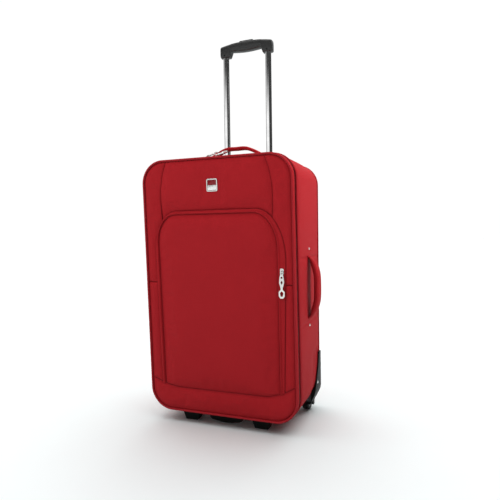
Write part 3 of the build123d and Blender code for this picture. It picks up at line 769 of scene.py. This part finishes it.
def lid_edges():
    piping("front_piping", "lid", 3.0, round_profile(0, -0.6, 2.8), "lid_piping")
    # the strip starts under the panels and runs up inside the piping, so that no gap shows between them
    strip = [(-6.2, 2.4), (-3.4, 1.8), (-1.2, 1.4), (-0.8, 3.0), (-0.6, 4.4), (0.8, 6.6), (1.6, 9.0),
             (1.8, 12.0), (1.2, 14.2), (-0.4, 15.6), (-4.0, 16.4)]
    made = ring("lid_gusset_cloth", fabric_side, "lid", 2.2, strip, wobble=0.18, seed=8,
                stands_for=("lid_gusset",), slot="red_fabric")
    tape = [(-2.6, 15.6), (-1.7, 17.0), (-1.8, 21.7), (-4.5, 21.8)]
    made = ring("lid_zip_tape_cloth", tape_cloth, "lid", 2.2, tape, stands_for=("lid_zip_tape",),
                slot="zip_tape")


def case_edges():
    tape = [(-4.5, 22.2), (-1.8, 22.3), (-1.6, 26.6), (-1.4, 28.0)]
    made = ring("case_zip_tape_cloth", tape_cloth, "case", 2.2, tape, stands_for=("case_zip_tape",),
                slot="zip_tape")
    piping("case_front_piping", "case", 2.4, round_profile(1.2, 30.4, 3.0), "case_piping")


def fabric_hinge():
    """The strip of cloth down the left edge that the lid turns on, over the closed end of the zip."""
    t = np.linspace(92, 588, 90)[:, None]
    profile = np.array([(0.6, 15.2), (2.2, 16.0), (2.9, 17.5), (3.0, 20.0), (3.0, 22.0), (3.0, 24.0),
                        (2.9, 26.0), (2.2, 27.6), (0.8, 28.4)])
    out, depth = profile.T[:, None, :]
    x = -(HALF_W - 2.2) - out + 0.15 * ripple(t, depth, 91, 60)
    made = piece("hinge_cloth", front(x, depth, t), grid_faces(len(t), len(profile)), fabric_side, None,
                 flat_uv(t, depth), slot="red_fabric", facing=(-1, 0, 0))
    tuple(front(-212, 27.0, 340))
    tuple(front(-212, 17.0, 340))
    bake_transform(made)


def zip_coil(name, body, s, lean_sign):
    """One half of the main zip's coil, a row of small teeth."""
    points, normals, run = outline(4.0, step=2.2)
    verts, faces, uvs = [], [], []
    for k, (p, n) in enumerate(zip(points, normals)):
        t = np.array([-n[1], n[0]])
        for a in (-0.75, 0.75):
            for out in (0.2, 1.5):
                for d in (0.0, 2.6 * lean_sign):
                    q = p + t * a * (0.55 if d else 1.0) + n * (out + 0.9)
                    verts.append(front(q[0], s + d, q[1]))
                    uvs.append((run[k] / 1000, d / 1000))
        b = k * 8
        faces += [(b, b + 1, b + 3, b + 2), (b + 4, b + 6, b + 7, b + 5), (b, b + 4, b + 5, b + 1),
                  (b + 2, b + 3, b + 7, b + 6), (b, b + 2, b + 6, b + 4), (b + 1, b + 5, b + 7, b + 3)]
    piece(name, np.array(verts), faces, coil, body, uvs, slot="zip_tape", smooth=False)


# ---- walls of the case -----------------------------------------------------------------------------
def slice_mesh(bm, at, normal, **how):
    """Cuts a mesh with a plane through a point of the case frame."""
    everything = bm.verts[:] + bm.edges[:] + bm.faces[:]
    bmesh.ops.bisect_plane(bm, geom=everything, plane_co=tuple(place(*at)), plane_no=normal, **how)


def cut_out_wheels(obj, margin=0.0):
    """Removes what would stand inside the two wheel housings."""
    bm = bmesh.new()
    bm.from_mesh(obj.data)
    x, y, z = HOUSING_X - margin, HOUSING_Y - margin, HOUSING_Z + margin
    for side in (-1, 1):
        for at, normal in (((side * x, 0, 0), (1, 0, 0)), ((0, y, 0), (0, 1, 0)), ((0, 0, z), (0, 0, 1))):
            slice_mesh(bm, at, normal, dist=1e-6)
        corner = place(side * x, y, z)
        middles = [(face, face.calc_center_median()) for face in bm.faces]
        gone = [face for face, at in middles
                if (at.x - corner[0]) * side > 0 and at.y > corner[1] and at.z < corner[2]]
        bmesh.ops.delete(bm, geom=gone, context="FACES")
    bm.to_mesh(obj.data)
    bm.free()


def wall_out(v, sideways):
    """How far the padded wall stands out, by the share v of its depth. It bulges most at the sides."""
    groove = np.exp(-((v * 200 - 4.2) / 2.6) ** 2)
    bulge = (0.35 + 0.65 * sideways) * np.sin(math.pi * np.clip(v, 0, 1) ** 0.7) ** 0.6
    return -1.6 + 1.9 * (1 - np.exp(-np.minimum(v, 1 - v) * 200 / 6.0)) - 2.6 * groove + 2.7 * bulge


def wall(name, inset, step, start, end, v, shape, material, inside_out=False, **how):
    """A wall all round the case. v lists shares of its depth, from start(height) to end, and
    shape(points, normals, run, y) gives how far it stands out."""
    points, normals, run = outline(inset, BODY_H, Z_BOTTOM, step=step)
    y0 = start(points[:, 1])[:, None]
    y = y0 + (end - y0) * v[None, :]
    x, z = stand_out(points, normals, shape(points, normals, run[:, None], y))
    faces = grid_faces(len(points), len(v), True)
    if inside_out:
        faces = [face[::-1] for face in faces]
    return piece(name, place(x, y, z), faces, material, "case", flat_uv(run[:, None], y), **how)


def case_gusset():
    """One fabric wall all round, padded between its edges, with a seam above and below the side handle."""
    v = np.array([0, 0.012, 0.022, 0.034, 0.05, 0.07, *np.linspace(0.1, 0.9, 22), 0.94, 0.97, 0.988, 1.0])

    def shape(points, normals, run, y):
        out = wall_out(v[None, :], np.abs(normals[:, 0])[:, None]) + 0.2 * ripple(run, y, 17, 95)
        side = (np.abs(points[:, 0]) > 190)[:, None]
        z = points[:, 1][:, None]
        for seam in (SEAM_HIGH, SEAM_LOW):
            out = out - side * SEAM_DIP * np.exp(-((z - seam) / SEAM_SOFT) ** 2)
        near_guard = np.clip((200 - z) / 30, 0, 1) * np.clip((y - 135) / 28, 0, 1)
        near_feet = np.clip((40 - z) / 8, 0, 1)
        return np.minimum(out, 4.0 - 4.5 * np.maximum(near_guard, near_feet))
    made = wall("case_gusset_cloth", WALL_INSET, 3.5, lambda z: front_y(z, S_CASE_PIPING + 1),
                Y_BACK_PIPING + 0.5, v, shape, fabric_side, slot="red_fabric",
                stands_for=("gusset_top", "gusset_bottom", "gusset_middle_left", "gusset_middle_right"))
    cut_out_wheels(made)


def case_back():
    piping("back_edge_piping", "case", 2.6, round_profile(0, 238.3, 2.6), "back_piping", height=BODY_H,
           base=Z_BOTTOM, upright=True)

    def lift(flat, gap):
        x, z = np.abs(flat[:, 0]), flat[:, 1]
        tubes = np.exp(-((x - TUBE_X) / 13.0) ** 2) * np.clip((z - 55) / 25, 0, 1)
        sewn = np.exp(-((np.abs(x - TUBE_X) - CHANNEL_HALF) / 2.6) ** 2) * np.clip((z - 95) / 10, 0, 1)
        kick = np.exp(-((z - KICK_Z) / 3.0) ** 2)
        return (2.2 * (1 - np.exp(-gap / 10)) + 1.6 * tubes - 2.2 * sewn - 2.2 * kick - 0.6
                + 0.3 * ripple(flat[:, 0], z, 51, 110) * np.clip(gap / 25, 0, 1))

    def at_seam(flat):
        x, z = np.abs(flat[:, 0]), flat[:, 1]
        return (np.abs(np.abs(x - TUBE_X) - CHANNEL_HALF) < 3.5) & (z > 95) | (np.abs(z - KICK_Z) < 3.5)
    behind = dict(body="case", to_world=on_back, facing=(0, 1, 0))
    loop = outline(5.0, BODY_H, Z_BOTTOM, step=5.0)[0]
    made = sewn_panel("back_cloth", loop, lift, ("back_panel",), held=at_seam, slot="back_fabric", **behind)
    cut_out_wheels(made)
    z = np.linspace(120, 688, 120)
    channels = [side * TUBE_X + gap for side in (-1, 1) for gap in (-CHANNEL_HALF, CHANNEL_HALF)]
    # dark strips of painted shade in the seams of the back
    for number, x in enumerate(channels):
        seam_line(f"back_channel_seam_{number}", np.stack([x + 0 * z, z], 1), 1.6, 0.1, **behind)
    x = np.linspace(-150, 150, 80)
    seam_line("back_kick_seam", np.stack([x, KICK_Z + 0 * x], 1), 1.6, 0.0, **behind)


# ---- inside ----------------------------------------------------------------------------------------
def case_linings():
    v = np.linspace(0, 1, 18)

    def hang(points, normals, run, y):
        return -0.9 * np.sin(math.pi * v)[None, :] + 0.4 * ripple(run, y, 61, 60)
    made = wall("case_side_lining", 6.4, 7.0, lambda z: front_y(z, 29.5), LINING_Y - 0.2, v, hang,
                lining_cloth, inside_out=True, slot="lining")
    cut_out_wheels(made, 3.0)
    loop = outline(7.0, BODY_H, Z_BOTTOM, step=7.0)[0]
    made = sewn_panel("case_back_lining", loop, lambda flat, gap: 0.4 * ripple(*flat.T, 71, 70) + 0.2,
                      ("back_lining",), lining_cloth, "case",
                      lambda flat, up: place(flat[:, 0], LINING_Y - up, flat[:, 1]), step=9.0, blown=0,
                      slot="lining")
    cut_out_wheels(made, 3.0)
    for side, name in SIDES:
        housing_cover(side, name)


def lid_linings():
    strip = [(-1.0, 21.5), (-1.6, 19.0), (-1.8, 12.0), (-1.6, 6.0), (-1.0, 3.0)]
    made = ring("lid_side_lining", lining_cloth, "lid", 4.8, strip, slot="lining")
    made = sewn_panel("lid_back_lining", outline(6.0, step=7.0)[0], crown(1.2, 10.0, 0.0, 81, 0.4, 80.0),
                      ("lid_lining", "pocket_backing", "pocket_rim"), lining_cloth, "lid",
                      lambda flat, up: front(flat[:, 0], 17.2 + up, flat[:, 1]), step=9.0, sink=1.0, blown=0,
                      facing=(0, 1, 0), slot="lining")
    piping("hoop_cover", "case", 9.0, round_profile(0, 38.0, 2.6), "frame_hoop", lining_cloth, "lining", 6.0)


def housing_cover(side, name, r=7.0):
    """Lining over the inside of a wheel housing: the top, front and inner side of a rounded box."""
    low = np.array([min(side * 152.5, side * 215.0), 161.5, 25])
    high = np.array([max(side * 152.5, side * 215.0), 220.0, 70.5])
    bm = bmesh.new()
    bmesh.ops.create_cube(bm, size=1.0)
    for v in bm.verts:
        v.co = Vector(((low + high) / 2 + np.array(v.co) * (high - low)).tolist())
    bmesh.ops.bevel(bm, geom=bm.edges[:], offset=r, segments=4, affect="EDGES", profile=0.5)
    bm.verts.ensure_lookup_table()
    verts = np.array([tuple(v.co) for v in bm.verts])
    faces = [[v.index for v in face.verts] for face in bm.faces]
    bm.free()
    x, y, z = verts.T
    made = piece(f"housing_lining_{name}", place(x, y, z), faces, lining_cloth, "case", flat_uv(x + y, z),
                 slot="lining")
    bm = bmesh.new()
    bm.from_mesh(made.data)
    for at, away in (((side * 202, 0, 0), (side, 0, 0)), ((0, 206, 0), (0, 1, 0)), ((0, 0, 37), (0, 0, -1))):
        slice_mesh(bm, at, away, clear_outer=True)
    bm.to_mesh(made.data)
    bm.free()


def packing_straps():
    """Four arms of webbing that meet at the buckle."""
    verts, faces, uvs = [], [], []
    middle, half = np.array([0, 385.0]), 12.5
    section = ((-1, 0.0), (-0.92, 1.0), (0, 1.15), (0.92, 1.0), (1, 0.0))
    for end in np.array([(150, 640), (-150, 640), (-150, 130), (150, 130)], float):
        length = np.linalg.norm(middle - end)
        d = (middle - end) / length
        w = np.array([-d[1], d[0]]) * half
        reach = length - 30
        stations = np.linspace(0, reach, 40)
        faces += [tuple(i + len(verts) for i in face) for face in grid_faces(len(stations), len(section))]
        for s in stations:
            lift = 1.2 + 1.2 * math.sin(math.pi * s / reach)
            for k, up in section:
                x, z = end + d * s + w * k
                verts.append(place(x, LINING_Y - 0.6 - lift * up, z))
                uvs.append((s / 1000, k * half / 1000))
    made = piece("packing_strap_webbing", np.array(verts), faces, webbing, "case", uvs,
                 stands_for=("packing_straps",), slot="lining", facing=(0, -1, 0))


# ---- carry handles ---------------------------------------------------------------------------------
def strap(name, centre, tangent, width, thick, to_world, ridges, node):
    """A padded carry strap. centre and tangent give its line as (along, out), width and thick its section."""
    count, sides = len(centre), 28
    normal = np.stack([-tangent[:, 1], tangent[:, 0]], 1)
    run = run_along(centre)
    verts, uvs = [], []
    for i in range(count):
        for k in range(sides):
            a = 2 * math.pi * k / sides
            across = math.copysign(abs(math.cos(a)) ** 0.45, math.cos(a))
            up = math.copysign(abs(math.sin(a)) ** 0.6, math.sin(a))
            bead = 1 + ridges * math.cos(across * math.pi * 3) * (abs(across) < 0.95)
            p = centre[i] + normal[i] * up * thick[i] / 2 * bead
            verts.append(to_world(p[0], across * width[i] / 2, p[1]))
            uvs.append((run[i] / 1000, k / sides * 2 * (width[i] + thick[i]) / 1000))
    made = piece(name, verts, tube_faces(count, sides), fabric_side, "case", uvs, stands_for=(node,),
                 slot="red_fabric")


def arch_line(span, rise, thick, crest, root=5.0, count=64):
    """Middle line of a carry handle standing on a wall, and its direction."""
    half = span / 2
    side = [(half + root, -1.0), (half - 2, 0.28 * rise), (half - 22, 0.58 * rise),
            (half * crest, rise - thick / 2 - 1.2)]
    knots = np.array([*[(-a, b) for a, b in side], (0, rise - thick / 2), *side[::-1]])
    u = np.linspace(0, len(knots) - 1, count)
    line = np.stack([smooth_through(knots[:, i], u) for i in (0, 1)], 1)
    return line, unit(np.gradient(line, axis=0))


def smooth_through(values, u):
    """Catmull-Rom interpolation through evenly numbered values."""
    padded = np.concatenate([[2 * values[0] - values[1]], values, [2 * values[-1] - values[-2]]])
    i = np.clip(np.floor(u).astype(int), 0, len(values) - 2)
    k = u - i
    p0, p1, p2, p3 = (padded[i + j] for j in range(4))
    return 0.5 * (2 * p1 + (p2 - p0) * k + (2 * p0 - 5 * p1 + 4 * p2 - p3) * k ** 2
                  + (3 * p1 - p0 - 3 * p2 + p3) * k ** 3)


def carry_handles():
    wall_x, wall_z = HALF_W - 1.5, Z_TOP - 1.5
    line, tangent = arch_line(TOP_SPAN, TOP_RISE, 8.0, 0.36)
    ends = np.clip((TOP_SPAN / 2 + 5 - np.abs(line[:, 0])) / 22, 0, 1)
    strap("top_handle_strap", line, tangent, 29 - 4 * ends, 3.5 + 5.5 * ends,
          lambda a, w, out: place(a, TOP_Y + w, wall_z + out), 0.05, "top_handle")
    line, tangent = arch_line(SIDE_SPAN, SIDE_REACH - 1.5, 12.0, 0.42)
    ends = np.clip((SIDE_SPAN / 2 + 5 - np.abs(line[:, 0])) / 24, 0, 1)
    strap("side_handle_strap", line, tangent, 29 + 9 * ends, 4.0 + 8.0 * ends,
          lambda a, w, out: place(wall_x + out, SIDE_Y + w, SIDE_Z + a), 0.2, "side_handle")


# ---- grip ------------------------------------------------------------------------------------------
def bell(value, centre, width):
    return math.exp(-((value - centre) / width) ** 2)


def grip_shell():
    """The grip, lofted across: a bowed bar that swells towards the middle, and end caps that hang lower."""
    cap_from, cap_to, tip = 46, 8.5, GRIP_HALF - 5
    xs = np.concatenate([np.linspace(-GRIP_HALF, -tip, 7), np.linspace(-76, 76, 145),
                         np.linspace(tip, GRIP_HALF, 7)])
    cap = np.clip((np.abs(xs) - cap_from) / cap_to, 0, 1)
    cap = cap * cap * (3 - 2 * cap)
    belly = 3.5 * np.cos(np.clip(np.abs(xs) / cap_from, 0, 1) * math.pi / 2)
    lows = GRIP_LOW + (16.5 - belly) * (1 - cap)
    highs = GRIP_TOP - 8.5 * (np.abs(xs) / GRIP_HALF) ** 2.2
    end = np.clip((GRIP_HALF - np.abs(xs)) / 5.0, 0, 1)
    shrink = np.sqrt(1 - (1 - end) ** 2) * 0.22 + 0.78
    shrink = np.where(end <= 0, 0.02, shrink)
    sides = 72
    verts, uvs = [], []
    for x, low, high, k in zip(xs, lows, highs, shrink):
        middle, half_z = (low + high) / 2, (high - low) / 2
        half_y = GRIP_DEPTH / 2 * (1 - 0.06 * (1 - abs(x) / GRIP_HALF))
        for j in range(sides):
            a = 2 * math.pi * j / sides
            ca, sa = math.cos(a), math.sin(a)
            z = math.copysign(abs(sa) ** 0.55, sa) * half_z * (1 - (1 - k) * 0.6)
            level = z / half_z
            ridge = 1 - 0.055 * bell(level, -0.42, 0.07) - 0.05 * bell(level, 0.62, 0.06)
            collar = 1 - 0.05 * bell(abs(x), 49, 1.3)
            y = math.copysign(abs(ca) ** 0.55, ca) * half_y * k * min(ridge if abs(x) < 48 else 1, collar)
            if level < -0.42 and abs(x) < 48:
                y *= 1 + 0.24 * (level + 0.42)
            verts.append(place(x, TUBE_Y + y, middle + z))
            uvs.append((x / 1000, j / sides * 0.12))
    piece("grip_moulding", verts, tube_faces(len(xs), sides), grip_plastic, "handle", uvs,
          stands_for=("grip",), slot="grip_plastic")


# ---- seams with visible thread ---------------------------------------------------------------------


def front_rows():
    """Stitching beside the seams of the front."""
    facing = front(0, -1, 0) - front(0, 0, 0)

    def row(line, up, aside=0.0):
        points = on_front(line + right_of(line) * aside, up)
        return points, np.repeat(facing[None, :], len(points), 0)
    rows = [row(cut_at_pocket(upper_seam(side)), 0.4, -side * 3.2) for side, _ in SIDES]
    rows.append(row(base_line(np.linspace(-200, 200, 120), -4.0), 0.8))
    stitches("front_stitching", rows, "lid")
    stitches("pocket_stitching", [row(POCKET_IN, 0.7, -STITCH_GAP)], "pocket")


def side_rows():
    """Stitching beside the wall's upper and lower seam, seated on the padding."""
    rows = []
    y = np.linspace(36, 228, 60)
    for side, _ in SIDES:
        for z in (SEAM_HIGH + STITCH_GAP, SEAM_LOW - STITCH_GAP):
            start = float(front_y(z, S_CASE_PIPING + 1))
            v = (y - start) / (Y_BACK_PIPING + 0.5 - start)
            out = wall_out(v, 1.0) - SEAM_DIP * math.exp(-(STITCH_GAP / SEAM_SOFT) ** 2) + 0.25
            points = place(side * (HALF_W - WALL_INSET + out), y, z)
            rows.append((points, np.repeat([[side, 0.0, 0.0]], len(y), 0)))
    stitches("side_stitching", rows, "case")


# ---- finishes of the CAD nodes that stay -----------------------------------------------------------
FINISHES = {
    plastic: ("wheel_guard_left", "wheel_guard_right", "front_feet", "centre_skid", "handle_bezel",
              "tube_bracket", "tube_guides", "strap_buckle", "back_board"),
    grip_plastic: ("release_button",),
    tube_metal: ("inner_tubes", "outer_tubes"),
    bright: ("handle_rivets", "guard_rivets", "zip_slider_left", "zip_slider_right",
             "zip_pull_left", "zip_pull_right", "pocket_slider", "pocket_pull"),
    steel: ("axles", "axle_spacers", "release_rods", "foot_screws"),
    black_steel: ("grip_pins",),
    rubber: ("tyre_left", "tyre_right"),
    hub_plastic: ("hub_left", "hub_right"),
    fabric_side: ("handle_tabs",),
}


def finish_cad_nodes():
    for material, names in FINISHES.items():
        for name in names:
            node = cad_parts[name]
            node.data.materials.clear()
            node.data.materials.append(material)
            soft_edge = node.modifiers.new("worn_edges", "BEVEL")
            soft_edge.width = 0.0003 if material in (bright, steel) else 0.0006
            soft_edge.segments = 2
            soft_edge.limit_method, soft_edge.angle_limit = "ANGLE", math.radians(35)
            soft_edge.use_clamp_overlap = True


# ---- studio ----------------------------------------------------------------------------------------
def studio_walls():
    """White walls and a bright ceiling, with dark flags beside and above that shape the reflections in metal.
    What the camera sees directly stays white."""
    world = bpy.data.worlds.new("studio")
    bpy.context.scene.world = world
    world.use_nodes = True
    g = Graph.__new__(Graph)
    g.tree = world.node_tree
    background = g.tree.nodes["Background"]
    way = g.node("ShaderNodeTexCoord").outputs["Generated"]

    def along(x, y, z):
        dot = g.node("ShaderNodeVectorMath", operation="DOT_PRODUCT")
        g.put(dot.inputs[0], way)
        dot.inputs[1].default_value = (x, y, z)
        return dot.outputs["Value"]
    sine, cosine = math.sin(CAMERA_YAW), math.cos(CAMERA_YAW)
    away, across = along(-sine, cosine, 0), along(cosine, sine, 0)
    up = along(0, 0, 1)
    far_right = g.ramp(across, 0.56, 0.66)
    low_right = g.times(g.ramp(across, 0.0, 0.12), g.ramp(away, 0.1, -0.1))
    right_flag = g.math("MAXIMUM", far_right, low_right)
    left_flag = g.times(g.ramp(across, -0.56, -0.66), g.ramp(away, 0.0, 0.25))
    front_flag = g.times(g.ramp(up, 0.235, 0.32), g.ramp(away, 0.0, -0.2))
    dark = g.math("MAXIMUM", right_flag, g.math("MAXIMUM", g.times(left_flag, 0.7), front_flag))
    tilted = g.plus(up, g.plus(g.times(away, 0.34), g.times(across, 0.12)))
    ceiling = g.ramp(tilted, 0.70, 0.82)
    dark = g.times(dark, g.math("SUBTRACT", 1.0, g.ramp(up, 0.66, 0.76)))
    level = g.math("SUBTRACT", g.plus(1.02, g.times(ceiling, 1.05)), g.times(dark, 0.97))
    seen = g.node("ShaderNodeLightPath").outputs["Is Camera Ray"]
    background.inputs[0].default_value = (1, 1, 1, 1)
    g.put(background.inputs[1], g.math("MAXIMUM", level, g.times(seen, 1.02)))


def studio():
    """A white floor, the walls and three softboxes. The softboxes don't light the floor."""
    mesh = bpy.data.meshes.new("floor")
    mesh.from_pydata([(-30, -30, 0), (30, -30, 0), (30, 30, 0), (-30, 30, 0)], [], [(0, 1, 2, 3)])
    floor = add_object("floor", mesh)
    g = Graph("studio_floor")
    where = g.node("ShaderNodeTexCoord").outputs["Object"]
    tone = g.mix(g.noise(where, 6.0, 3.0), (0.876, 0.925, 0.925, 1), (0.896, 0.945, 0.945, 1))
    mesh.materials.append(g.finish(Base_Color=tone, Roughness=0.9, Specular_IOR_Level=0.0))
    studio_walls()

    unlit = bpy.data.collections.new("not_lit_by_softboxes")
    unlit.objects.link(floor)
    unlit.collection_objects[0].light_linking.link_state = "EXCLUDE"

    def softbox(name, at, aim, size, watts, spread=180):
        weave_shade_and_yarn_tone = bpy.data.lights.new(name, "AREA")
        weave_shade_and_yarn_tone.shape, weave_shade_and_yarn_tone.energy = "RECTANGLE", watts
        weave_shade_and_yarn_tone.size, weave_shade_and_yarn_tone.size_y = size
        weave_shade_and_yarn_tone.spread = math.radians(spread)
        made = add_object(name, weave_shade_and_yarn_tone)
        made.location = at
        made.rotation_euler = (Vector(aim) - Vector(at)).to_track_quat("-Z", "Y").to_euler()
        made.visible_glossy = False
        made.light_linking.receiver_collection = unlit
    softbox("key_right", (1.7, 0.35, 1.5), (0.2, 0.1, 1.0), (0.9, 0.9), 8.5, 65)
    softbox("top_front", (-0.5, -1.7, 1.9), (0.0, 0.0, 0.6), (1.2, 1.0), 28)
    softbox("rim_back", (-0.6, 1.8, 2.2), (0.0, 0.0, 0.7), (1.6, 0.8), 14)


def camera():
    """Stands right of the case at mid height, looking a little down and to the left."""
    level = math.cos(CAMERA_PITCH)
    forward = Vector((-math.sin(CAMERA_YAW) * level, math.cos(CAMERA_YAW) * level, math.sin(CAMERA_PITCH)))
    right = Vector((math.cos(CAMERA_YAW), math.sin(CAMERA_YAW), 0))
    up = right.cross(forward)
    rolled_right = right * math.cos(CAMERA_ROLL) + up * math.sin(CAMERA_ROLL)
    rolled_up = up * math.cos(CAMERA_ROLL) - right * math.sin(CAMERA_ROLL)
    data = bpy.data.cameras.new("camera")
    data.sensor_width, data.lens = 36.0, CAMERA_LENS
    made = add_object("camera", data)
    turn = Matrix((rolled_right, rolled_up, -forward)).transposed().to_4x4()
    made.matrix_world = Matrix.Translation(Vector(place(*CAMERA_AT).tolist())) @ turn
    bpy.context.scene.camera = made


bpy.context.scene.view_settings.view_transform = "Standard"
lid_front()
zip_cover()
badge()
lid_edges()
case_edges()
zip_coil("lid_zip_coil", "lid", 19.0, 1)
zip_coil("case_zip_coil", "case", 25.0, -1)
fabric_hinge()
case_gusset()
case_back()
case_linings()
lid_linings()
packing_straps()
carry_handles()
grip_shell()
front_rows()
side_rows()
finish_cad_nodes()
studio()
camera()
